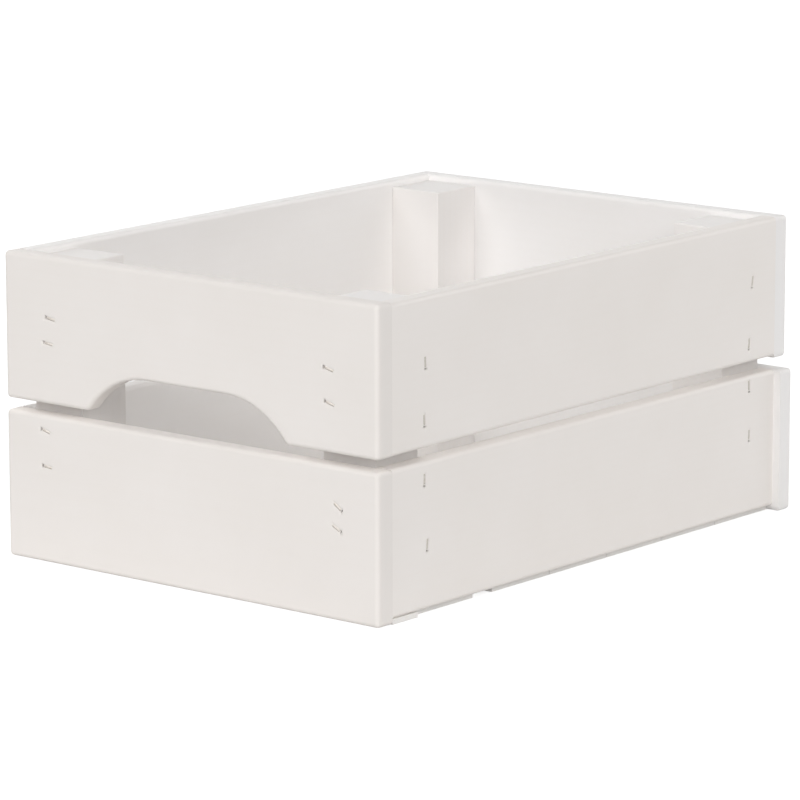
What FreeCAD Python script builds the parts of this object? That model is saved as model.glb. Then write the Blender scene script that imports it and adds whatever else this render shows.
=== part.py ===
import FreeCAD, Part
import math
import os

# A wooden storage crate: two tiers of boards stapled to four corner posts, over thin bottom slats.
# All sizes are in mm. X runs across the handle ends, Y along the crate with the front end at -Y,
# Z up from the floor. The origin is the middle of the base, on the floor.

# Boards
crate_width = 228.0
crate_length = 315.0
board_thickness = 10.0
lower_board_height = 68.5
upper_board_height = 70.5
tier_gap = 5.4
edge_round = 2.0

# Bottom: a narrow strip behind the front board, flush with the sides, and then slats that stop a
# little short of them. The lower end boards hide both ends of the row.
slat_thickness = 2.6
strip_width = 18.0
slat_recess = 3.5
slat_count = 6
slat_opening = 14.0
slat_joint = 0.4

# Corner posts, square in section
post_size = 30.0
post_drop = 3.0

# Hand hole, cut into the lower edge of the upper end boards
handle_width = 122.0
handle_flat = 48.0
handle_rise = 18.7
handle_shift = -1.0

# Uneven fitting: the back lower board stands out to the right, and the right upper board is cut
# a little low and climbs towards the back.
back_lower_shift = 4.0
right_upper_shortfall = 1.3
right_upper_lift = 0.3
right_upper_climb = 1.0

# Staples: flat wire, with the crown sunk a little under the wood's face
staple_crown = 5.5
staple_wire_width = 1.2
staple_wire_thickness = 0.8
staple_sink = 0.3
board_staple_length = 25.0
slat_staple_length = 12.0
slat_staple_inset = 12.0

# Where each board is stapled, seen from outside: two staples at its left end, then two at its
# right end. Each has its distance inwards from the post's middle line, its height as a share of
# the board's, and the crown's turn in degrees, anticlockwise from how that board's crowns run.
staple_spots = {
    "front_upper": ((4.4, 0.58, -10), (2.8, 0.41, -8), (3.5, 0.54, -13), (3.0, 0.32, -15)),
    "front_lower": ((0.3, 0.89, -15), (1.1, 0.65, -6), (-1.0, 0.74, -35), (-0.2, 0.60, -28)),
    "right_upper": ((8.6, 0.57, 3), (7.9, 0.19, 2), (3.9, 0.58, -10), (6.1, 0.14, -5)),
    "right_lower": ((8.0, 0.88, -1), (10.0, 0.44, -5), (5.8, 0.93, 2), (5.2, 0.57, -3)),
    "back_upper": ((3.6, 0.61, 12), (1.9, 0.36, 6), (4.1, 0.57, -9), (2.2, 0.30, -17)),
    "back_lower": ((4.8, 0.81, 9), (3.7, 0.55, 21), (-3.5, 0.77, -12), (-2.6, 0.49, -6)),
    "left_upper": ((5.2, 0.62, -4), (6.8, 0.22, 3), (7.4, 0.56, 8), (6.3, 0.18, 2)),
    "left_lower": ((6.9, 0.84, 5), (7.7, 0.47, -2), (8.8, 0.88, -6), (7.1, 0.41, 4)),
}
end_crown_angle = 0.0
side_crown_angle = 90.0

# Sizes that follow from those above
lower_end_height = slat_thickness + lower_board_height
upper_base = lower_end_height + tier_gap
crate_height = upper_base + upper_board_height
right_upper_height = upper_board_height - right_upper_shortfall
inner_width = crate_width - 2 * board_thickness
inner_length = crate_length - 2 * board_thickness
post_height = crate_height - post_drop - slat_thickness
post_x = (inner_width - post_size) / 2
post_y = (inner_length - post_size) / 2
slat_length = crate_width - 2 * slat_recess
slat_joints = (slat_count - 1) * slat_joint
slat_width = (inner_length - strip_width - slat_opening - slat_joints) / slat_count


def point(x, y, z):
    return FreeCAD.Vector(x, y, z)


def block(x_size, y_size, z_size, corner):
    """A plain rectangular block, from the place of its lowest corner."""
    return Part.makeBox(x_size, y_size, z_size, corner)


def prism(edges, thickness):
    """A solid from a closed outline in the XZ plane, as thick as asked along +Y."""
    outline = Part.Wire(edges)
    return Part.Face(outline).extrude(point(0, thickness, 0))


def chain(corners):
    """Straight edges from each corner to the next."""
    return [Part.makeLine(a, b) for a, b in zip(corners, corners[1:])]


# Boards are made lying in their own frame: X along the board from its middle, Y from the outer
# face inwards, Z up from the lower edge. They are turned and moved to their places afterwards.


def plain_outline(length, height, climb=0.0):
    """Outline of a board whose lower and upper edges may climb from one end to the other."""
    half = length / 2
    corners = [
        point(-half, 0, 0),
        point(half, 0, climb),
        point(half, 0, climb + height),
        point(-half, 0, height),
        point(-half, 0, 0),
    ]
    return chain(corners)


def shoulder(foot_x, flat_x, height):
    """The arc from the foot of the hand hole to its flat top, which it meets without a corner."""
    run = abs(foot_x - flat_x)
    radius = (run**2 + handle_rise**2) / (2 * handle_rise)
    half_turn = math.asin(min(1.0, run / radius)) / 2
    side = math.copysign(1.0, foot_x - flat_x)
    middle_x = flat_x + side * radius * math.sin(half_turn)
    middle_z = height - radius * (1 - math.cos(half_turn))
    arc = Part.Arc(point(foot_x, 0, 0), point(middle_x, 0, middle_z), point(flat_x, 0, height))
    return arc.toShape()


def handle_outline(length, height):
    """Outline of an upper end board, with the hand hole in its lower edge."""
    half = length / 2
    left_foot = handle_shift - handle_width / 2
    right_foot = handle_shift + handle_width / 2
    left_flat = handle_shift - handle_flat / 2
    right_flat = handle_shift + handle_flat / 2
    flat = Part.makeLine(point(left_flat, 0, handle_rise), point(right_flat, 0, handle_rise))
    outside = [
        point(right_foot, 0, 0),
        point(half, 0, 0),
        point(half, 0, height),
        point(-half, 0, height),
        point(-half, 0, 0),
        point(left_foot, 0, 0),
    ]
    left_arc = shoulder(left_foot, left_flat, handle_rise)
    right_arc = shoulder(right_foot, right_flat, handle_rise)
    return [left_arc, flat, right_arc] + chain(outside)


def is_upright(edge):
    """True for a straight edge that stands along Z."""
    if edge.Curve.TypeId != "Part::GeomLine":
        return False
    direction = edge.tangentAt(edge.FirstParameter)
    return abs(direction.z) > 0.99


def is_across(edge):
    """True for an edge that runs through the board's thickness."""
    box = edge.BoundBox
    return box.YLength > box.XLength + box.ZLength


def eased_end_board(board, height):
    """An end board with its sanded edges. Its inner upright edges stay square, because they are
    flush against the side boards, and so does the seam of the hand hole's flat and arcs."""
    chosen = []
    for edge in board.Edges:
        middle = edge.CenterOfMass
        inner = abs(middle.y - board_thickness) < 0.01
        on_rim_or_foot = abs(middle.z) < 0.01 or abs(middle.z - height) < 0.01
        if is_across(edge) and not on_rim_or_foot:
            continue
        if inner and is_upright(edge):
            continue
        chosen.append(edge)
    return board.makeFillet(edge_round, chosen)


def eased_side_board(board):
    """A side board with its long edges sanded. Its ends stay square against the end boards."""
    chosen = []
    for edge in board.Edges:
        if is_across(edge) or is_upright(edge):
            continue
        chosen.append(edge)
    return board.makeFillet(edge_round, chosen)


def staple(length):
    """A staple driven along +Y from the origin, with its crown along X."""
    half = staple_crown / 2
    low = -staple_wire_width / 2
    crown = block(
        staple_crown, staple_wire_thickness, staple_wire_width, point(-half, staple_sink, low)
    )
    legs = []
    for start in (-half, half - staple_wire_thickness):
        corner = point(start, staple_sink, low)
        legs.append(block(staple_wire_thickness, length, staple_wire_width, corner))
    return crown.fuse(legs).removeSplitter()


def dimple(width):
    """The shallow mark over a sunk crown, from the wood's face down to the wire."""
    low = -width / 2
    return block(staple_crown, staple_sink, width, point(-staple_crown / 2, 0, low))


def placed(shape, placement):
    """A copy of the shape, turned and moved as the placement says."""
    copy = shape.copy()
    copy.Placement = placement.multiply(copy.Placement)
    return copy


def facing(turn, position):
    """Turns a board about Z from facing -Y, and moves its outer face's foot to its place."""
    return FreeCAD.Placement(position, FreeCAD.Rotation(point(0, 0, 1), turn))


def staple_placements(name, length, height, climb, post_middle, crown_angle, offset=0.0):
    """Where a board's staples go, in the board's own frame. The offset is how far the posts lie
    along that frame's X from where they would be with the board in the middle."""
    left_two = [(-1, spot) for spot in staple_spots[name][:2]]
    right_two = [(1, spot) for spot in staple_spots[name][2:]]
    found = []
    for side, (inwards, share, turn) in left_two + right_two:
        x = side * (post_middle - inwards) + offset
        z = share * height + climb * (0.5 + x / length)
        rotation = FreeCAD.Rotation(point(0, -1, 0), crown_angle + turn)
        found.append(FreeCAD.Placement(point(x, 0, z), rotation))
    return found


class Board:
    """A board in its place, and the staples that hold it."""

    def __init__(self, name, body, placement, staple_places):
        places = [placement.multiply(place) for place in staple_places]
        wire = staple(board_staple_length)
        mark = dimple(staple_wire_width)
        marks = [placed(mark, place) for place in places]
        self.name = name
        self.staples = [placed(wire, place) for place in places]
        self.solid = placed(body, placement).cut(self.staples + marks)


def end_board(name, turn, base, height, shift=0.0, with_handle=False):
    """A board across one end of the crate, which covers the ends of the side boards."""
    if with_handle:
        outline = handle_outline(crate_width, height)
    else:
        outline = plain_outline(crate_width, height)
    body = eased_end_board(prism(outline, board_thickness), height)
    outward = -1 if turn == 0 else 1
    placement = facing(turn, point(shift, outward * crate_length / 2, base))
    offset = shift * outward
    spots = staple_placements(name, crate_width, height, 0.0, post_x, end_crown_angle, offset)
    return Board(name, body, placement, spots)


def side_board(name, turn, base, height, climb=0.0):
    """A board along one side, between the end boards."""
    body = eased_side_board(prism(plain_outline(inner_length, height, climb), board_thickness))
    outward = 1 if turn == 90 else -1
    placement = facing(turn, point(outward * crate_width / 2, 0, base))
    spots = staple_placements(name, inner_length, height, climb, post_y, side_crown_angle)
    return Board(name, body, placement, spots)


def make_boards():
    right_upper_base = upper_base + right_upper_lift
    return [
        end_board("front_lower", 0, 0.0, lower_end_height),
        end_board("front_upper", 0, upper_base, upper_board_height, with_handle=True),
        end_board("back_lower", 180, 0.0, lower_end_height, shift=back_lower_shift),
        end_board("back_upper", 180, upper_base, upper_board_height, with_handle=True),
        side_board("right_lower", 90, slat_thickness, lower_board_height),
        side_board("right_upper", 90, right_upper_base, right_upper_height, right_upper_climb),
        side_board("left_lower", -90, slat_thickness, lower_board_height),
        side_board("left_upper", -90, upper_base, upper_board_height),
    ]


def make_posts(staples):
    """The four corner posts, which stand on the bottom and take the boards' staples."""
    corners = {
        "front_left_post": (-post_x, -post_y),
        "front_right_post": (post_x, -post_y),
        "back_left_post": (-post_x, post_y),
        "back_right_post": (post_x, post_y),
    }
    posts = {}
    for name, (x, y) in corners.items():
        low = point(x - post_size / 2, y - post_size / 2, slat_thickness)
        post = block(post_size, post_size, post_height, low)
        posts[name] = post.cut(staples)
    return posts


def slat_fronts():
    """The Y of each slat's front edge: one slat next to the strip, the opening, and then the rest
    close together."""
    edges = [-inner_length / 2 + strip_width + slat_joint]
    edges.append(edges[0] + slat_width + slat_opening)
    while len(edges) < slat_count:
        edges.append(edges[-1] + slat_width + slat_joint)
    return edges


def bottom_piece(length, width, front, insets):
    """A strip or slat across the bottom, and its staples by side. They are driven up through the
    middle of what it covers of the side boards, at the given distances from its front edge."""
    solid = block(length, width, slat_thickness, point(-length / 2, front, 0))
    bearing_middle = (inner_width / 2 + length / 2) / 2
    upwards = FreeCAD.Rotation(point(1, 0, 0), 90)
    along_y = FreeCAD.Rotation(point(0, 1, 0), 90)
    wire = staple(slat_staple_length)
    mark = dimple(staple_wire_width)
    staples = {}
    for side, x in (("left", -bearing_middle), ("right", bearing_middle)):
        spots = [point(x, front + inset, 0) for inset in insets]
        places = [FreeCAD.Placement(spot, upwards.multiply(along_y)) for spot in spots]
        marks = [placed(mark, place) for place in places]
        staples[side] = [placed(wire, place) for place in places]
        solid = solid.cut(staples[side] + marks)
    return solid, staples


def make_bottom():
    """The bottom's pieces by node name, and their staples grouped by side."""
    middle = [strip_width / 2]
    both_ends = [slat_staple_inset, slat_width - slat_staple_inset]
    made = {"bottom_strip": bottom_piece(crate_width, strip_width, -inner_length / 2, middle)}
    for number, front in enumerate(slat_fronts(), start=1):
        made[f"bottom_slat_{number}"] = bottom_piece(slat_length, slat_width, front, both_ends)
    solids = {name: solid for name, (solid, staples) in made.items()}
    staples = {"left": [], "right": []}
    for solid, own in made.values():
        for side, wires in own.items():
            staples[side].extend(wires)
    return solids, staples


def save(name, shape):
    shape.exportStep(os.path.join("parts", name + ".step"))


def main():
    os.makedirs("parts", exist_ok=True)
    boards = make_boards()
    bottom, slat_staples = make_bottom()
    all_board_staples = []
    for board in boards:
        all_board_staples.extend(board.staples)
        save(board.name + "_staples", Part.makeCompound(board.staples))
    for board in boards:
        solid = board.solid
        if board.name == "left_lower":
            solid = solid.cut(slat_staples["left"])
        if board.name == "right_lower":
            solid = solid.cut(slat_staples["right"])
        save(board.name + "_board", solid)
    for name, post in make_posts(all_board_staples).items():
        save(name, post)
    for name, piece in bottom.items():
        save(name, piece)
    for side, staples in slat_staples.items():
        save(f"{side}_slat_staples", Part.makeCompound(staples))


main()
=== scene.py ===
"""A white painted wooden storage crate, modelled and finished around its fixed frame.

Everything is in metres, in the frame's own axes: X across the handle ends, Y along the crate with
the front end at -Y, Z up from the floor. Boards and staples are made in the frame of the face that
they lie on: X along it, Y inwards from the wood's outer face, Z up.
"""

import math

import bmesh
import bpy
from bpy.props import FloatProperty, FloatVectorProperty, PointerProperty
from bpy.types import NodeSocket, Operator, Panel, PropertyGroup
from mathutils import Matrix, Vector, noise
from mathutils.kdtree import KDTree


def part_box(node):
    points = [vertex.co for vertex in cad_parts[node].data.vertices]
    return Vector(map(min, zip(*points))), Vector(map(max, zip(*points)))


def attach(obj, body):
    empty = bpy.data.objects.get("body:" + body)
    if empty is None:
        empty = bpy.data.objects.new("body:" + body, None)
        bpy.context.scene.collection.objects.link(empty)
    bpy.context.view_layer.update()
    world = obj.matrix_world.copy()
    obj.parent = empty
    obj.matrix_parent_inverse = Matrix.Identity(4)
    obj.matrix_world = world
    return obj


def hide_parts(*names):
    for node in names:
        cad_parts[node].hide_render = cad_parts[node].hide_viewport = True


bl_info = {
    "name": "Wooden storage crate",
    "version": (1, 0, 0),
    "blender": (4, 5, 0),
    "location": "3D View > Sidebar > Crate",
    "description": "Builds the boards, posts, slats and staples of a white painted crate",
    "category": "Object",
}

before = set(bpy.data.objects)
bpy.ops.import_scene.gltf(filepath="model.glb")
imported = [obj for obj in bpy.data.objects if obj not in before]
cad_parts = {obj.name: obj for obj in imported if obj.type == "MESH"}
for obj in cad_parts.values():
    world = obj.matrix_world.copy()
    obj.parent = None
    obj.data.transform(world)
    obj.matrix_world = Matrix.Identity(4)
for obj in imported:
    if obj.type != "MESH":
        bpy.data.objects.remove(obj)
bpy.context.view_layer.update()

MM = 0.001
UP = Vector((0, 0, 1))

END_FACES = ("front", "back")
SIDE_FACES = ("right", "left")
TIERS = ("lower", "upper")
POSTS = ("front_left", "front_right", "back_left", "back_right")

# How far the boards of each face are turned about Z from facing -Y
TURNS = {"front": 0.0, "right": math.pi / 2, "back": math.pi, "left": -math.pi / 2}

# The frame of the crate's underside, whose Y runs up into the wood
UNDERSIDE = Matrix.Rotation(math.pi / 2, 4, "X")

# Painted light and shade on each face's boards: factors for the paint's red, green and blue
FACE_PAINTED_LIGHT = {
    "front": (0.940, 0.922, 0.912),
    "right": (0.985, 0.967, 0.957),
    "back": (1.000, 1.008, 1.026),
    "left": (1.045, 1.050, 1.064),
}

# How well the paint hides the wood of the posts and of the bottom, from 0 to 1
POST_BODY = 0.9
SLAT_BODY = 0.85

# Bare wood with painted shade in the holes that the staples have torn open
BARE_WOOD_AND_SHADE_IN_HOLES = (0.26, 0.235, 0.21, 1)

# Places closer than this count as one, and closer than the second where a plane cuts
TOUCH = 0.01 * MM
CUT_TOUCH = TOUCH / 10

# Steps along a round end of the hand hole, across a board's rounded edge and across a block's
ARC_STEPS = 14
BOARD_BEVEL = 4
BLOCK_BEVEL = 3

# An edge that turns by more than the first angle stays crisp, and the paint of one that turns by
# the second is fully rubbed
SQUARE_ANGLE = math.radians(50)
RUBBED_ANGLE = 0.35

# How closely the planed wood's waves follow each other along X, Y and Z, and its ripples
WAVES = Vector((14, 40, 32))
RIPPLES = 150

# How far apart the waves of two pieces are taken, and what sets the waves and the grain of the
# posts and of the bottom apart from the boards'
SEED_STEP = Vector((7.3, 3.1, 5.7))
POST_SEED = 20
SLAT_SEED = 30
POST_GRAIN = 11
SLAT_GRAIN = 16

# Where each lamp hangs, in degrees: its direction from the front end round to the right, and its
# height above the floor
LAMPS = {
    "front_lamp": (-5, 35),
    "right_lamp": (60, 30),
    "back_lamp": (150, 25),
    "left_lamp": (-110, 20),
}

# The floor's half width, and how brightly it glows where it is seen
FLOOR_REACH = 7
FLOOR_GLOW = 0.75


class CrateShape(PropertyGroup):
    """Sizes of the worked wood that the frame's boxes don't give."""

    edge_round: FloatProperty(
        name="Edge rounding",
        description="Radius that the boards' exposed edges are sanded to",
        default=2 * MM,
        unit="LENGTH",
    )
    post_round: FloatProperty(
        name="Post edge rounding",
        description="Radius of the posts' planed edges",
        default=0.7 * MM,
        unit="LENGTH",
    )
    slat_round: FloatProperty(
        name="Slat edge rounding",
        description="Radius of the slats' sawn edges",
        default=0.3 * MM,
        unit="LENGTH",
    )
    hole_width: FloatProperty(
        name="Hand hole width",
        description="Width of the hand hole along the board's lower edge",
        default=122 * MM,
        unit="LENGTH",
    )
    hole_flat: FloatProperty(
        name="Hand hole flat",
        description="Length of the straight stretch along the top of the hand hole",
        default=48 * MM,
        unit="LENGTH",
    )
    hole_rise: FloatProperty(
        name="Hand hole rise",
        description="Height of the hand hole above the board's lower edge",
        default=18.7 * MM,
        unit="LENGTH",
    )
    hole_shift: FloatProperty(
        name="Hand hole shift",
        description="How far the hand hole is cut off the board's middle",
        default=-1 * MM,
        unit="LENGTH",
    )
    cell: FloatProperty(
        name="Surface cell",
        description="Size of the cells that carry the wood's unevenness",
        default=2.5 * MM,
        unit="LENGTH",
    )
    unevenness: FloatProperty(
        name="Unevenness",
        description="How deep the planed wood's long waves are",
        default=0.1 * MM,
        unit="LENGTH",
    )
    seam_width: FloatProperty(
        name="Seam width",
        description="How far from a square edge the unevenness reaches its full depth",
        default=15 * MM,
        unit="LENGTH",
    )
    wire_width: FloatProperty(
        name="Staple wire width",
        description="Width of the flat wire, across the crown",
        default=1.2 * MM,
        unit="LENGTH",
    )
    wire_thickness: FloatProperty(
        name="Staple wire thickness",
        description="Thickness of the flat wire",
        default=0.8 * MM,
        unit="LENGTH",
    )
    crown_length: FloatProperty(
        name="Staple crown",
        description="Length of a staple's crown over both legs",
        default=5.5 * MM,
        unit="LENGTH",
    )
    crush: FloatProperty(
        name="Crushed fibres",
        description="How far the wood round a staple's crown is pressed in",
        default=0.4 * MM,
        unit="LENGTH",
    )
    crater_rim: FloatProperty(
        name="Crater rim",
        description="Width of the sloping rim of crushed wood round a staple's crown",
        default=0.45 * MM,
        unit="LENGTH",
    )
    puncture: FloatProperty(
        name="Puncture",
        description="Length of the open hole at one end of a staple's crown",
        default=0.7 * MM,
        unit="LENGTH",
    )
    puncture_wall: FloatProperty(
        name="Puncture wall",
        description="How much wider the hole is at its mouth, at each end",
        default=0.1 * MM,
        unit="LENGTH",
    )
    puncture_depth: FloatProperty(
        name="Puncture depth",
        description="How deep the open hole is",
        default=1.5 * MM,
        unit="LENGTH",
    )


class CrateFinish(PropertyGroup):
    """Colours and sheen of the painted wood and of the staples."""

    board_colour: FloatVectorProperty(
        name="Board paint",
        description="Colour of the paint on the boards",
        subtype="COLOR",
        default=(0.878, 0.855, 0.832),
        min=0,
        max=1,
    )
    post_colour: FloatVectorProperty(
        name="Post paint",
        description="Colour of the thinner paint on the posts",
        subtype="COLOR",
        default=(0.868, 0.843, 0.828),
        min=0,
        max=1,
    )
    slat_colour: FloatVectorProperty(
        name="Slat paint",
        description="Colour of the paint on the bottom slats",
        subtype="COLOR",
        default=(0.87, 0.85, 0.83),
        min=0,
        max=1,
    )
    wire_colour: FloatVectorProperty(
        name="Staple wire",
        description="Colour of the galvanised wire",
        subtype="COLOR",
        default=(0.60, 0.57, 0.55),
        min=0,
        max=1,
    )
    sheen: FloatProperty(
        name="Paint roughness",
        description="Roughness of the satin paint, from 0, gloss, to 1, matt",
        default=0.55,
        min=0,
        max=1,
    )
    gloss: FloatProperty(
        name="Paint gloss",
        description="How strongly the paint's surface mirrors, where 0.5 is that of glass",
        default=0.3,
        min=0,
        max=1,
    )


class CrateStudio(PropertyGroup):
    """The camera's place and the light on the crate."""

    azimuth: FloatProperty(
        name="Camera azimuth",
        description="Direction of the camera round the crate, from the front end to the right",
        default=math.radians(39.39),
        subtype="ANGLE",
    )
    elevation: FloatProperty(
        name="Camera elevation",
        description="Angle of the camera above the floor",
        default=math.radians(11.56),
        subtype="ANGLE",
    )
    roll: FloatProperty(
        name="Camera roll",
        description="Turn of the camera about its own line of sight",
        default=math.radians(-0.11),
        subtype="ANGLE",
    )
    distance: FloatProperty(
        name="Camera distance",
        description="Distance from the camera to the base's middle, along its line of sight",
        default=2.3094,
        unit="LENGTH",
    )
    aim_right: FloatProperty(
        name="Aim right",
        description="How far the camera looks to the right of the base's middle",
        default=-2.19 * MM,
        unit="LENGTH",
    )
    aim_up: FloatProperty(
        name="Aim up",
        description="How far the camera looks above the base's middle",
        default=63.4 * MM,
        unit="LENGTH",
    )
    lens: FloatProperty(
        name="Lens",
        description="Focal length on a 36 mm sensor, in millimetres",
        default=213.93,
    )
    ambient: FloatProperty(
        name="Ambient light",
        description="Strength of the even light from all round",
        default=0.0,
    )
    softness: FloatProperty(
        name="Lamp softness",
        description="Angle that each lamp fills in the sky",
        default=math.radians(40),
        subtype="ANGLE",
    )
    front_lamp: FloatProperty(
        name="Front lamp",
        description="Strength of the lamp in front of the crate",
        default=1.59,
    )
    right_lamp: FloatProperty(
        name="Right lamp",
        description="Strength of the lamp on the right",
        default=1.63,
    )
    back_lamp: FloatProperty(
        name="Back lamp",
        description="Strength of the lamp behind the crate",
        default=0.78,
    )
    left_lamp: FloatProperty(
        name="Left lamp",
        description="Strength of the lamp on the left",
        default=1.55,
    )


def frame_of_face(face, node):
    """Turns a face's own frame into the crate's: its origin is the middle of the board's outer
    face, at the level of the floor."""
    low, high = (Vector(corner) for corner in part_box(node))
    middle = (low + high) / 2
    outer = {
        "front": (middle.x, low.y),
        "right": (high.x, middle.y),
        "back": (middle.x, high.y),
        "left": (low.x, middle.y),
    }
    return Matrix.Translation((*outer[face], 0)) @ Matrix.Rotation(TURNS[face], 4, "Z")


def everything(mesh):
    """All that a bmesh operator can cut."""
    return mesh.verts[:] + mesh.edges[:] + mesh.faces[:]


def cut_into_cells(mesh, cell):
    """Cuts a solid by evenly spaced planes, so that its faces can take the wood's unevenness."""
    low = Vector([min(vert.co[axis] for vert in mesh.verts) for axis in range(3)])
    high = Vector([max(vert.co[axis] for vert in mesh.verts) for axis in range(3)])
    for axis in range(3):
        across = Vector([float(axis == other) for other in range(3)])
        span = high[axis] - low[axis]
        count = max(1, round(span / cell))
        for number in range(1, count):
            at = low + across * span * number / count
            bmesh.ops.bisect_plane(
                mesh, geom=everything(mesh), plane_co=at, plane_no=across, dist=CUT_TOUCH
            )


def mark_edges(mesh):
    """Keeps the square edges crisp, and writes how sharply the wood turns at each vertex, from 0
    to 1, for the rubbed paint."""
    rub = mesh.verts.layers.float.new("rub")
    for edge in mesh.edges:
        edge.smooth = edge.calc_face_angle(0.0) < SQUARE_ANGLE
    for vert in mesh.verts:
        angles = [edge.calc_face_angle(0.0) for edge in vert.link_edges if edge.smooth]
        vert[rub] = min(1.0, max(angles, default=0.0) / RUBBED_ANGLE)


def seam_share(mesh, seam_width):
    """For each vertex, 0 on a square edge, where pieces meet, up to 1 well away from it."""
    square = [vert.co for edge in mesh.edges if not edge.smooth for vert in edge.verts]
    if not square:
        return [1.0] * len(mesh.verts)
    tree = KDTree(len(square))
    for index, place in enumerate(square):
        tree.insert(place, index)
    tree.balance()
    return [min(1.0, tree.find(vert.co)[2] / seam_width) for vert in mesh.verts]


def make_uneven(mesh, depth, seam_width, seed):
    """Sinks the surface by up to the depth, in long waves and a finer one."""
    offset = SEED_STEP * seed
    mesh.normal_update()
    moves = []
    for vert, share in zip(mesh.verts, seam_share(mesh, seam_width)):
        wave = noise.noise(vert.co * WAVES + offset)
        ripple = noise.noise(vert.co * RIPPLES + offset)
        level = min(1.0, max(0.0, 0.5 + 0.45 * wave + 0.1 * ripple))
        moves.append(vert.normal * -depth * level * share)
    for vert, move in zip(mesh.verts, moves):
        vert.co += move


def outer_faces_near(mesh, middle, reach):
    """The faces of a board's outer side that lie close to a staple."""
    return [
        face
        for face in mesh.faces
        if face.normal.y < -0.9 and (face.calc_center_median() - middle).length < reach
    ]


def cut_near(mesh, middle, reach, direction, at):
    """Cuts the wood's outer side near a staple by a plane, square to the direction."""
    faces = outer_faces_near(mesh, middle, reach)
    edges = list({edge for face in faces for edge in face.edges})
    verts = list({vert for face in faces for vert in face.verts})
    bmesh.ops.bisect_plane(
        mesh,
        geom=verts + edges + faces,
        plane_co=middle + direction * at,
        plane_no=direction,
        dist=CUT_TOUCH,
    )


def press_in_staples(mesh, places, shape):
    """Presses the wood in round each staple's crown: a crater with a sloping rim that the crown
    lies in, and a puncture past a steep crown's lower end or a level one's left end, marked for
    the painted shade and bare wood that the paint gives it."""
    pierced = mesh.verts.layers.float.new("pierced")
    half_length = shape.crown_length / 2
    half_width = shape.wire_width / 2
    mouth = half_length + shape.puncture_wall
    mouth_end = mouth + shape.puncture
    rim_end = half_length + shape.crater_rim
    rim_side = half_width + shape.crater_rim
    far_end = mouth_end + shape.puncture_wall
    lengthwise = (-rim_end, -half_length, half_length, mouth, mouth_end, far_end)
    crosswise = (-rim_side, -half_width, half_width, rim_side)
    reach = shape.crown_length * 1.3
    for middle, turn in places:
        along = Vector((math.cos(turn), 0, math.sin(turn)))
        across = Vector((-math.sin(turn), 0, math.cos(turn)))
        if along.x + 2 * along.z > 0:
            along = -along
        for at in lengthwise:
            cut_near(mesh, middle, reach, along, at)
        for at in crosswise:
            cut_near(mesh, middle, reach, across, at)
        near = outer_faces_near(mesh, middle, reach)
        for vert in {vert for face in near for vert in face.verts}:
            offset = vert.co - middle
            run = offset.dot(along)
            if abs(offset.dot(across)) > half_width + TOUCH:
                continue
            if abs(run) < half_length + TOUCH:
                vert.co.y += shape.crush
            elif mouth - TOUCH < run < mouth_end + TOUCH:
                vert.co.y += shape.puncture_depth
                # The puncture's vertices take bare wood and painted shade in the paint
                vert[pierced] = 1.0


def add_piece(name, mesh, material, node):
    """Makes a finished mesh a smooth shaded piece that stands for one of the frame's nodes."""
    for face in mesh.faces:
        face.smooth = True
    data = bpy.data.meshes.new(name)
    mesh.to_mesh(data)
    mesh.free()
    data.materials.append(material)
    piece = bpy.data.objects.new(name, data)
    bpy.context.scene.collection.objects.link(piece)
    shading = piece.modifiers.new("even shading", "WEIGHTED_NORMAL")
    shading.keep_sharp = True
    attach(piece, "root")
    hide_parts(node)


def end_levels(node, to_face, half, margin):
    """The heights of a board's lower and upper edges at its two ends, read from the frame."""
    places = [to_face @ vert.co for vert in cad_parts[node].data.vertices]
    levels = []
    for side in (-1, 1):
        heights = [place.z for place in places if side * place.x > half - margin]
        levels.append((min(heights), max(heights)))
    return levels


def draw_outline(mesh, half, levels):
    """Corners of a plain board's outline, in order round it."""
    (left_low, left_high), (right_low, right_high) = levels
    corners = ((half, right_low), (half, right_high), (-half, left_high), (-half, left_low))
    return [mesh.verts.new((x, 0, z)) for x, z in corners]


def draw_hand_hole(mesh, foot_z, shape):
    """The hand hole's outline from its left foot to its right one, as a row of vertices."""
    run = (shape.hole_width - shape.hole_flat) / 2
    radius = (run**2 + shape.hole_rise**2) / (2 * shape.hole_rise)
    turn = math.asin(run / radius)
    rows = []
    for side in (-1, 1):
        foot = mesh.verts.new((shape.hole_shift + side * shape.hole_width / 2, 0, foot_z))
        centre_x = shape.hole_shift + side * shape.hole_flat / 2
        centre = (centre_x, 0, foot_z + shape.hole_rise - radius)
        before = set(mesh.verts)
        bmesh.ops.spin(
            mesh, geom=[foot], cent=centre, axis=(0, 1, 0), angle=-side * turn, steps=ARC_STEPS
        )
        arc = sorted(set(mesh.verts) - before, key=lambda vert: vert.co.z)
        rows.append([foot] + arc)
    return rows[0] + rows[1][::-1]


def join_up(mesh, row):
    """Joins a closed row of vertices by edges where there are none yet, and fills the outline."""
    for first, second in zip(row, row[1:] + row[:1]):
        if not mesh.edges.get((first, second)):
            mesh.edges.new((first, second))
    bmesh.ops.contextual_create(mesh, geom=mesh.edges[:])


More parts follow.
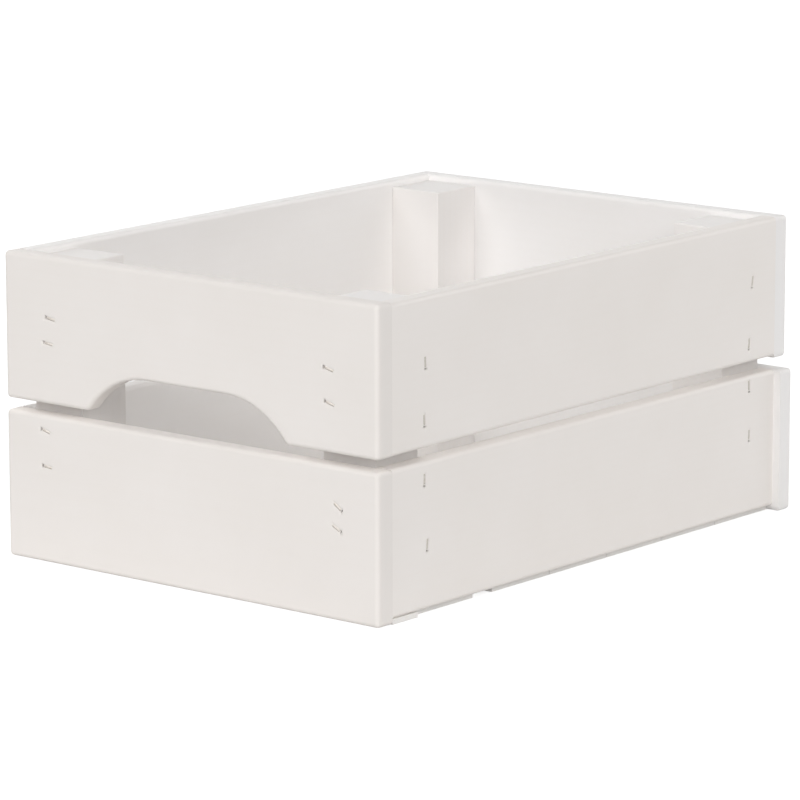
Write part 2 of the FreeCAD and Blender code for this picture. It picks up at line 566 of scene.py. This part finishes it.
def make_board(face, tier, shape, material):
    """A board, sanded on its exposed edges, with its staples' craters in the outer face. The
    upper end boards have a hand hole, and the side boards' ends stay square."""
    node = f"{face}_{tier}_board"
    ends_square = face in SIDE_FACES
    to_crate = frame_of_face(face, node)
    to_face = to_crate.inverted()
    corners = [to_face @ Vector(corner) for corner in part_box(node)]
    half = abs(corners[1].x - corners[0].x) / 2
    thickness = abs(corners[1].y - corners[0].y)
    levels = end_levels(node, to_face, half, 2 * shape.edge_round)
    mesh = bmesh.new()
    row = draw_outline(mesh, half, levels)
    if face in END_FACES and tier == "upper":
        row = draw_hand_hole(mesh, levels[0][0], shape) + row
    join_up(mesh, row)
    extruded = bmesh.ops.extrude_face_region(mesh, geom=mesh.faces[:])
    inner = [item for item in extruded["geom"] if isinstance(item, bmesh.types.BMVert)]
    bmesh.ops.translate(mesh, vec=(0, thickness, 0), verts=inner)
    bmesh.ops.recalc_face_normals(mesh, faces=mesh.faces[:])
    sanded = [
        edge for edge in mesh.edges if is_sanded(edge, half, thickness, levels, ends_square)
    ]
    bmesh.ops.bevel(
        mesh,
        geom=sanded,
        offset=shape.edge_round,
        offset_type="OFFSET",
        segments=BOARD_BEVEL,
        profile=0.5,
        affect="EDGES",
        clamp_overlap=True,
        material=-1,
    )
    cut_into_cells(mesh, shape.cell)
    mark_edges(mesh)
    seed = list(TURNS).index(face) * 2 + TIERS.index(tier)
    make_uneven(mesh, shape.unevenness, shape.seam_width, seed)
    press_in_staples(mesh, read_staples(f"{face}_{tier}_staples", to_face), shape)
    mesh.transform(to_crate)
    add_piece(f"{face}_{tier}_board_wood", mesh, material, node)


def is_sanded(edge, half, thickness, levels, ends_square):
    """True for an edge that is exposed in the finished crate. Where a side board meets the end
    boards, and where those cover it, the edges stay square."""
    first, second = (vert.co for vert in edge.verts)
    middle = (first + second) / 2
    run = second - first
    at_end = half - abs(middle.x) < TOUCH
    across = abs(run.y) > abs(run.x) + abs(run.z)
    if across:
        on_rim = any(abs(middle.z - level) < TOUCH for pair in levels for level in pair)
        return on_rim and not ends_square
    if at_end:
        return not ends_square and middle.y < thickness / 2
    return True


def islands(mesh):
    """The mesh's separate solids, each as a list of vertices."""
    left = set(mesh.verts)
    while left:
        found = set()
        fresh = {left.pop()}
        while fresh:
            vert = fresh.pop()
            found.add(vert)
            linked = {edge.other_vert(vert) for edge in vert.link_edges}
            fresh |= linked - found
        left -= found
        yield list(found)


def read_staples(node, to_face):
    """Where a node's staples lie in the frame of the face that they are driven into: the middle
    of each crown's outer side, and how far the crown is turned from that frame's X."""
    mesh = bmesh.new()
    mesh.from_mesh(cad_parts[node].data)
    bmesh.ops.remove_doubles(mesh, verts=mesh.verts, dist=CUT_TOUCH)
    mesh.transform(to_face)
    places = []
    for island in islands(mesh):
        outer = min(vert.co.y for vert in island)
        crown = [vert.co.copy() for vert in island if vert.co.y < outer + TOUCH]
        middle = sum(crown, Vector()) / len(crown)
        offsets = [place - middle for place in crown]
        along = sum(offset.x**2 - offset.z**2 for offset in offsets)
        skew = sum(2 * offset.x * offset.z for offset in offsets)
        places.append((middle, math.atan2(skew, along) / 2))
    mesh.free()
    return sorted(places, key=lambda place: tuple(place[0]))


def sweep_wire(mesh, shape, leg):
    """One staple of flat wire from leg tip to leg tip, with its crown along X on the face y=0."""
    half_width = shape.wire_width / 2
    bend = shape.wire_thickness
    outer = shape.crown_length / 2
    inner = outer - bend
    corners = [(-outer, leg, -half_width), (-inner, leg, -half_width)]
    corners += [(-inner, leg, half_width), (-outer, leg, half_width)]
    section = mesh.faces.new([mesh.verts.new(corner) for corner in corners])
    ring = [section]
    steps = (
        ("run", (0, bend - leg, 0)),
        ("bend", (-inner, bend, 0)),
        ("run", (2 * inner, 0, 0)),
        ("bend", (inner, bend, 0)),
        ("run", (0, leg - bend, 0)),
    )
    for kind, where in steps:
        if kind == "run":
            moved = bmesh.ops.extrude_discrete_faces(mesh, faces=ring)
            ring = moved["faces"]
            verts = list({vert for face in ring for vert in face.verts})
            bmesh.ops.translate(mesh, vec=where, verts=verts)
        else:
            turned = bmesh.ops.spin(
                mesh, geom=ring, cent=where, axis=(0, 0, 1), angle=math.pi / 2, steps=4
            )
            ring = [item for item in turned["geom_last"] if isinstance(item, bmesh.types.BMFace)]


def make_staples(node, to_crate, shape, material):
    """The staples of one board or of one row of slat ends, as a single piece."""
    to_face = to_crate.inverted()
    leg = leg_length(node, to_face)
    mesh = bmesh.new()
    for middle, turn in read_staples(node, to_face):
        one = bmesh.new()
        sweep_wire(one, shape, leg)
        one.transform(Matrix.Translation(middle) @ Matrix.Rotation(-turn, 4, "Y"))
        part = bpy.data.meshes.new("staple")
        one.to_mesh(part)
        one.free()
        mesh.from_mesh(part)
        bpy.data.meshes.remove(part)
    bmesh.ops.recalc_face_normals(mesh, faces=mesh.faces[:])
    mesh.transform(to_crate)
    add_piece(f"{node}_wire", mesh, material, node)


def leg_length(node, to_face):
    """How far a node's staples reach from the crown's outer side to the leg's tip."""
    depths = [(to_face @ Vector(corner)).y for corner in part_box(node)]
    return abs(depths[1] - depths[0])


def make_block(node, material, shape, shows, radius, depth, seed, places=()):
    """A plain piece of wood that fills its node's box. Its showing edges are rounded, and at the
    given places staples are driven into its underside."""
    low, high = (Vector(corner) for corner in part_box(node))
    centre = (low + high) / 2
    mesh = bmesh.new()
    bmesh.ops.create_cube(mesh, size=1)
    bmesh.ops.scale(mesh, vec=high - low, verts=mesh.verts[:])
    bmesh.ops.translate(mesh, vec=centre, verts=mesh.verts[:])
    bmesh.ops.bevel(
        mesh,
        geom=[edge for edge in mesh.edges if shows(edge, centre)],
        offset=radius,
        offset_type="OFFSET",
        segments=BLOCK_BEVEL,
        profile=0.5,
        affect="EDGES",
        clamp_overlap=True,
        material=-1,
    )
    cut_into_cells(mesh, shape.cell)
    mark_edges(mesh)
    make_uneven(mesh, depth, shape.seam_width, seed)
    if places:
        mesh.transform(UNDERSIDE.inverted())
        press_in_staples(mesh, places, shape)
        mesh.transform(UNDERSIDE)
    add_piece(f"{node}_wood", mesh, material, node)


def post_edge_shows(edge, centre):
    """True for a post's upright edge towards the middle of the crate, and for those of its top."""
    first, second = (vert.co for vert in edge.verts)
    middle = (first + second) / 2
    if abs(first.z - second.z) > TOUCH:
        return abs(middle.x) < abs(centre.x) and abs(middle.y) < abs(centre.y)
    return middle.z > centre.z


def slat_edge_shows(edge, centre):
    """True for every edge of a slat."""
    return True


def add_node(tree, kind, values=None, **settings):
    """Adds a shader node, with its own settings, and values or links for its inputs."""
    node = tree.nodes.new("ShaderNode" + kind)
    for name, value in settings.items():
        setattr(node, name, value)
    for name, value in (values or {}).items():
        if isinstance(value, NodeSocket):
            tree.links.new(value, node.inputs[name])
        else:
            node.inputs[name].default_value = value
    return node


def calculate(tree, operation, first, second):
    """A math node's result."""
    node = add_node(tree, "Math", {0: first, 1: second}, operation=operation)
    return node.outputs[0]


def mix_colours(tree, share, first, second):
    """A colour between two, by a share from 0 to 1."""
    node = add_node(tree, "Mix", {0: share, 6: first, 7: second}, data_type="RGBA")
    return node.outputs[2]


def new_group(name, inputs, outputs):
    """An empty node group with float and vector sockets, and its two end nodes."""
    tree = bpy.data.node_groups.new(name, "ShaderNodeTree")
    for socket, kind in inputs.items():
        tree.interface.new_socket(name=socket, in_out="INPUT", socket_type=kind)
    for socket in outputs:
        tree.interface.new_socket(name=socket, in_out="OUTPUT", socket_type="NodeSocketFloat")
    return tree, tree.nodes.new("NodeGroupInput"), tree.nodes.new("NodeGroupOutput")


def make_grain_group():
    """Softwood whose grain runs along X: growth rings round a far heart, and fine fibres."""
    tree, given, result = new_group(
        "softwood grain", {"Place": "NodeSocketVector"}, ("Rings", "Fibres")
    )
    place = given.outputs["Place"]
    drawn = add_node(tree, "Mapping", {"Vector": place, "Scale": (0.12, 1, 1)})
    rings = add_node(
        tree,
        "TexWave",
        {
            "Vector": drawn.outputs[0],
            "Scale": 70.0,
            "Distortion": 5.0,
            "Detail": 2.0,
            "Detail Scale": 0.35,
            "Detail Roughness": 0.5,
        },
        wave_type="RINGS",
        rings_direction="X",
    )
    late = calculate(tree, "POWER", rings.outputs["Fac"], 3.0)
    thin = add_node(tree, "Mapping", {"Vector": place, "Scale": (0.02, 1, 1)})
    fibres = add_node(
        tree, "TexNoise", {"Vector": thin.outputs[0], "Scale": 1800.0, "Detail": 3.0}
    )
    tree.links.new(late, result.inputs["Rings"])
    tree.links.new(fibres.outputs["Fac"], result.inputs["Fibres"])
    return tree


def make_film_group():
    """A sprayed film of paint: soft clouds in its depth, and the small waves of its surface."""
    tree, given, result = new_group(
        "paint film", {"Place": "NodeSocketVector"}, ("Clouds", "Waves")
    )
    place = given.outputs["Place"]
    clouds = add_node(
        tree, "TexNoise", {"Vector": place, "Scale": 16.0, "Detail": 3.0, "Roughness": 0.55}
    )
    waves = add_node(
        tree, "TexNoise", {"Vector": place, "Scale": 650.0, "Detail": 2.0, "Roughness": 0.5}
    )
    tree.links.new(clouds.outputs["Fac"], result.inputs["Clouds"])
    tree.links.new(waves.outputs["Fac"], result.inputs["Waves"])
    return tree


def shade(colour, factor, warmth=0.0):
    """A paler or darker tone of a colour, with a little more or less yellow."""
    red, green, blue = (part * factor for part in colour)
    return (min(1, red * (1 + warmth / 2)), min(1, green), min(1, blue * (1 - warmth)), 1)


def paint_tone(tree, colour, grain, film, show):
    """The paint's colour: clouds in the film, rings and fibres that show through it, edges where
    it is rubbed, and bare wood with painted shade in the staples' punctures."""
    clouds = film.outputs["Clouds"]
    tone = mix_colours(tree, clouds, shade(colour, 0.965, 0.012), shade(colour, 1.03, -0.008))
    rings = calculate(tree, "MULTIPLY", grain.outputs["Rings"], 0.02 + 0.25 * show)
    tone = mix_colours(tree, rings, tone, shade(colour, 0.86, 0.10))
    fibres = calculate(tree, "MULTIPLY", grain.outputs["Fibres"], 0.03 + 0.2 * show)
    tone = mix_colours(tree, fibres, tone, shade(colour, 0.9, 0.05))
    rubbed = add_node(tree, "Attribute", attribute_name="rub", attribute_type="GEOMETRY")
    worn = calculate(tree, "MULTIPLY", rubbed.outputs["Fac"], clouds)
    worn = calculate(tree, "MULTIPLY", worn, 0.10)
    tone = mix_colours(tree, worn, tone, shade(colour, 0.88, 0.09))
    # Bare wood and painted shade in the staples' punctures
    pierced = add_node(tree, "Attribute", attribute_name="pierced", attribute_type="GEOMETRY")
    return mix_colours(tree, pierced.outputs["Fac"], tone, BARE_WOOD_AND_SHADE_IN_HOLES)


def paint_relief(tree, grain, film):
    """The bumps of the painted surface: fibres, rings and the waves of the film."""
    height = calculate(tree, "MULTIPLY", grain.outputs["Fibres"], 0.4)
    rings = calculate(tree, "MULTIPLY", grain.outputs["Rings"], 0.35)
    height = calculate(tree, "ADD", height, rings)
    height = calculate(tree, "ADD", height, film.outputs["Waves"])
    return add_node(tree, "Bump", {"Height": height, "Strength": 0.6, "Distance": 0.03 * MM})


def paint_material(name, colour, turn, seed, finish, body=1.0):
    """Satin paint over softwood that lies at the given turn about Z. The body says how well the
    paint hides the wood, from 0 to 1."""
    material = bpy.data.materials.new(name)
    material.use_nodes = True
    tree = material.node_tree
    principled = tree.nodes["Principled BSDF"]
    where = add_node(tree, "TexCoord")
    mapped = add_node(
        tree,
        "Mapping",
        {
            "Vector": where.outputs["Object"],
            "Rotation": (0, 0, -turn),
            "Location": (0.31 * seed, 0.047 + 0.013 * seed, 0.035 - 0.009 * seed),
        },
    )
    groups = shared_groups()
    grain = add_node(tree, "Group", node_tree=groups["grain"])
    film = add_node(tree, "Group", node_tree=groups["film"])
    for node in (grain, film):
        tree.links.new(mapped.outputs[0], node.inputs["Place"])
    tone = paint_tone(tree, colour, grain, film, 1 - body)
    tree.links.new(tone, principled.inputs["Base Color"])
    rough = calculate(tree, "MULTIPLY_ADD", film.outputs["Clouds"], 0.16)
    rough.node.inputs[2].default_value = finish.sheen - 0.08
    tree.links.new(rough, principled.inputs["Roughness"])
    bump = paint_relief(tree, grain, film)
    tree.links.new(bump.outputs[0], principled.inputs["Normal"])
    principled.inputs["Specular IOR Level"].default_value = finish.gloss
    return material


def wire_material(finish):
    """Galvanised wire under a thin film of paint."""
    material = bpy.data.materials.new("galvanised_wire")
    material.use_nodes = True
    tree = material.node_tree
    principled = tree.nodes["Principled BSDF"]
    principled.inputs["Metallic"].default_value = 0.35
    where = add_node(tree, "TexCoord")
    spots = add_node(
        tree, "TexNoise", {"Vector": where.outputs["Object"], "Scale": 900.0, "Detail": 2.0}
    )
    colour = tuple(finish.wire_colour)
    tone = mix_colours(
        tree, spots.outputs["Fac"], shade(colour, 0.7, 0.15), shade(colour, 1.2, 0.0)
    )
    tree.links.new(tone, principled.inputs["Base Color"])
    rough = calculate(tree, "MULTIPLY_ADD", spots.outputs["Fac"], 0.3)
    rough.node.inputs[2].default_value = 0.3
    tree.links.new(rough, principled.inputs["Roughness"])
    return material


def shared_groups():
    """The node groups, made once and then found again by their names."""
    known = bpy.data.node_groups
    return {
        "grain": known.get("softwood grain") or make_grain_group(),
        "film": known.get("paint film") or make_film_group(),
    }


def board_paint_with_painted_light(face, finish):
    """The boards' paint with the painted light and shade of one face of the crate."""
    return tuple(part * tint for part, tint in zip(finish.board_colour, FACE_PAINTED_LIGHT[face]))


def make_boards(scene, faces):
    """Both tiers of boards on the given faces, each with grain of its own in its paint."""
    finish = scene.crate_finish
    for face in faces:
        for tier in TIERS:
            number = (END_FACES + SIDE_FACES).index(face) * len(TIERS) + TIERS.index(tier) + 1
            name = f"{face}_{tier}_paint"
            # Each face's boards take the paint with that face's painted light and shade
            paint = paint_material(name, board_paint_with_painted_light(face, finish), TURNS[face], number, finish)
            make_board(face, tier, scene.crate_shape, paint)


class CRATE_OT_end_boards(Operator):
    """Builds the front and back boards, with the hand holes in the upper ones"""

    bl_idname = "crate.end_boards"
    bl_label = "End boards"

    def execute(self, context):
        make_boards(context.scene, END_FACES)
        return {"FINISHED"}


class CRATE_OT_side_boards(Operator):
    """Builds the right and left boards, which lie between the end boards"""

    bl_idname = "crate.side_boards"
    bl_label = "Side boards"

    def execute(self, context):
        make_boards(context.scene, SIDE_FACES)
        return {"FINISHED"}


def post_paint(corner, number, finish):
    """The posts' thinner paint, whose grain stands upright."""
    name = f"{corner}_post_paint"
    paint = paint_material(name, finish.post_colour, 0, POST_GRAIN + number, finish, POST_BODY)
    mapping = next(node for node in paint.node_tree.nodes if node.type == "MAPPING")
    mapping.inputs["Rotation"].default_value = (0, math.pi / 2, 0)
    return paint


class CRATE_OT_posts(Operator):
    """Builds the four corner posts"""

    bl_idname = "crate.posts"
    bl_label = "Corner posts"

    def execute(self, context):
        shape = context.scene.crate_shape
        for number, corner in enumerate(POSTS):
            make_block(
                f"{corner}_post",
                post_paint(corner, number, context.scene.crate_finish),
                shape,
                post_edge_shows,
                shape.post_round,
                shape.unevenness,
                POST_SEED + number,
            )
        return {"FINISHED"}


def slat_paint(node, number, finish):
    """The paint on the thin wood of the bottom, whose grain runs across the crate."""
    grain = SLAT_GRAIN + number
    return paint_material(f"{node}_paint", finish.slat_colour, 0, grain, finish, SLAT_BODY)


class CRATE_OT_slats(Operator):
    """Builds the bottom strip and slats, with the staples' craters underneath"""

    bl_idname = "crate.slats"
    bl_label = "Bottom slats"

    def execute(self, context):
        shape = context.scene.crate_shape
        names = sorted(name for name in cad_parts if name.startswith("bottom_"))
        staples = read_staples("left_slat_staples", UNDERSIDE.inverted())
        staples += read_staples("right_slat_staples", UNDERSIDE.inverted())
        for number, node in enumerate(names):
            low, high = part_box(node)
            places = [
                (middle, turn)
                for middle, turn in staples
                if low[1] < (UNDERSIDE @ middle).y < high[1]
            ]
            make_block(
                node,
                slat_paint(node, number, context.scene.crate_finish),
                shape,
                slat_edge_shows,
                shape.slat_round,
                shape.unevenness / 2,
                SLAT_SEED + number,
                places,
            )
        return {"FINISHED"}


class CRATE_OT_staples(Operator):
    """Builds the staples of the boards and of the slats"""

    bl_idname = "crate.staples"
    bl_label = "Staples"

    def execute(self, context):
        shape = context.scene.crate_shape
        wire = wire_material(context.scene.crate_finish)
        for face in TURNS:
            for tier in TIERS:
                to_crate = frame_of_face(face, f"{face}_{tier}_board")
                make_staples(f"{face}_{tier}_staples", to_crate, shape, wire)
        for side in ("left", "right"):
            make_staples(f"{side}_slat_staples", UNDERSIDE, shape, wire)
        return {"FINISHED"}


class CRATE_OT_stage(Operator):
    """Builds the floor, the light and the camera"""

    bl_idname = "crate.stage"
    bl_label = "Stage"

    def execute(self, context):
        scene = context.scene
        studio = scene.crate_studio
        scene.view_settings.view_transform = "Standard"
        light_all_round(scene, studio.ambient)
        lay_floor()
        for name, (azimuth, elevation) in LAMPS.items():
            towards = direction(math.radians(azimuth), math.radians(elevation))
            hang_lamp(name, towards, getattr(studio, name), studio.softness)
        place_camera(scene, studio)
        return {"FINISHED"}


def seen_directly(tree):
    """1 for what the camera sees straight, in gloss or through glass, and 0 for plain light."""
    path = add_node(tree, "LightPath")
    seen = calculate(tree, "MAXIMUM", path.outputs["Is Camera Ray"], path.outputs["Is Glossy Ray"])
    return calculate(tree, "MAXIMUM", seen, path.outputs["Is Transmission Ray"])


def light_all_round(scene, strength):
    """A world that looks white and gives an even light of the given strength."""
    scene.world = bpy.data.worlds.new("studio")
    scene.world.use_nodes = True
    tree = scene.world.node_tree
    tree.nodes.clear()
    even = add_node(tree, "Background", {"Strength": strength})
    white = add_node(tree, "Background", {"Strength": 1.0})
    both = add_node(
        tree, "MixShader", {0: seen_directly(tree), 1: even.outputs[0], 2: white.outputs[0]}
    )
    add_node(tree, "OutputWorld", {"Surface": both.outputs[0]})


def lay_floor():
    """A pale floor that looks white and keeps the crate's shadow."""
    mesh = bmesh.new()
    bmesh.ops.create_grid(mesh, x_segments=1, y_segments=1, size=FLOOR_REACH)
    data = bpy.data.meshes.new("floor")
    mesh.to_mesh(data)
    mesh.free()
    floor = bpy.data.objects.new("floor", data)
    bpy.context.scene.collection.objects.link(floor)
    material = bpy.data.materials.new("floor")
    material.use_nodes = True
    tree = material.node_tree
    tree.nodes.clear()
    plain = add_node(tree, "BsdfDiffuse", {"Color": (0.8, 0.8, 0.8, 1)})
    soft = add_node(tree, "BsdfDiffuse", {"Color": (0.5, 0.5, 0.5, 1)})
    glow = add_node(tree, "Emission", {"Strength": FLOOR_GLOW})
    lit = add_node(tree, "AddShader", {0: soft.outputs[0], 1: glow.outputs[0]})
    both = add_node(
        tree, "MixShader", {0: seen_directly(tree), 1: plain.outputs[0], 2: lit.outputs[0]}
    )
    add_node(tree, "OutputMaterial", {"Surface": both.outputs[0]})
    data.materials.append(material)


def direction(azimuth, elevation):
    """The direction from the crate, from the front end round to the right, and up."""
    level = math.cos(elevation)
    return Vector((math.sin(azimuth) * level, -math.cos(azimuth) * level, math.sin(elevation)))


def hang_lamp(name, towards, strength, softness):
    """A large soft lamp far away in a direction."""
    light = bpy.data.lights.new(name, "SUN")
    light.energy = strength
    light.angle = softness
    lamp = bpy.data.objects.new(name, light)
    lamp.rotation_mode = "QUATERNION"
    lamp.rotation_quaternion = towards.to_track_quat("Z", "Y")
    bpy.context.scene.collection.objects.link(lamp)


def place_camera(scene, studio):
    """The camera, which looks at the crate from its front right."""
    back = direction(studio.azimuth, studio.elevation)
    level = UP.cross(back).normalized()
    upright = back.cross(level)
    right = math.cos(studio.roll) * level + math.sin(studio.roll) * upright
    above = math.cos(studio.roll) * upright - math.sin(studio.roll) * level
    data = bpy.data.cameras.new("camera")
    data.lens = studio.lens
    data.sensor_width = 36
    camera = bpy.data.objects.new("camera", data)
    place = back * studio.distance + right * studio.aim_right + above * studio.aim_up
    turned = Matrix((right, above, back)).transposed().to_4x4()
    camera.matrix_world = Matrix.Translation(place) @ turned
    scene.collection.objects.link(camera)
    scene.camera = camera


class CRATE_PT_panel(Panel):
    """Lists the crate's sizes, finishes and building steps"""

    bl_idname = "CRATE_PT_panel"
    bl_label = "Wooden storage crate"
    bl_space_type = "VIEW_3D"
    bl_region_type = "UI"
    bl_category = "Crate"

    def draw(self, context):
        for setting in SETTINGS:
            group = getattr(context.scene, setting)
            box = self.layout.box()
            for name in group.bl_rna.properties.keys():
                if name not in ("rna_type", "name"):
                    box.prop(group, name)
        for operator in OPERATORS:
            self.layout.operator(operator.bl_idname)


OPERATORS = (
    CRATE_OT_end_boards,
    CRATE_OT_side_boards,
    CRATE_OT_posts,
    CRATE_OT_slats,
    CRATE_OT_staples,
    CRATE_OT_stage,
)
SETTINGS = {"crate_shape": CrateShape, "crate_finish": CrateFinish, "crate_studio": CrateStudio}


def register():
    """Registers the classes, and gives each scene the crate's settings."""
    for cls in (*SETTINGS.values(), *OPERATORS, CRATE_PT_panel):
        bpy.utils.register_class(cls)
    for name, group in SETTINGS.items():
        setattr(bpy.types.Scene, name, PointerProperty(type=group))


def unregister():
    """Undoes what register did, in the opposite order."""
    for name in SETTINGS:
        delattr(bpy.types.Scene, name)
    for cls in (CRATE_PT_panel, *reversed(OPERATORS), *reversed(SETTINGS.values())):
        bpy.utils.unregister_class(cls)


def main():
    """Builds the whole scene."""
    register()
    bpy.ops.crate.end_boards()
    bpy.ops.crate.side_boards()
    bpy.ops.crate.posts()
    bpy.ops.crate.slats()
    bpy.ops.crate.staples()
    bpy.ops.crate.stage()


if __name__ == "__main__":
    main()
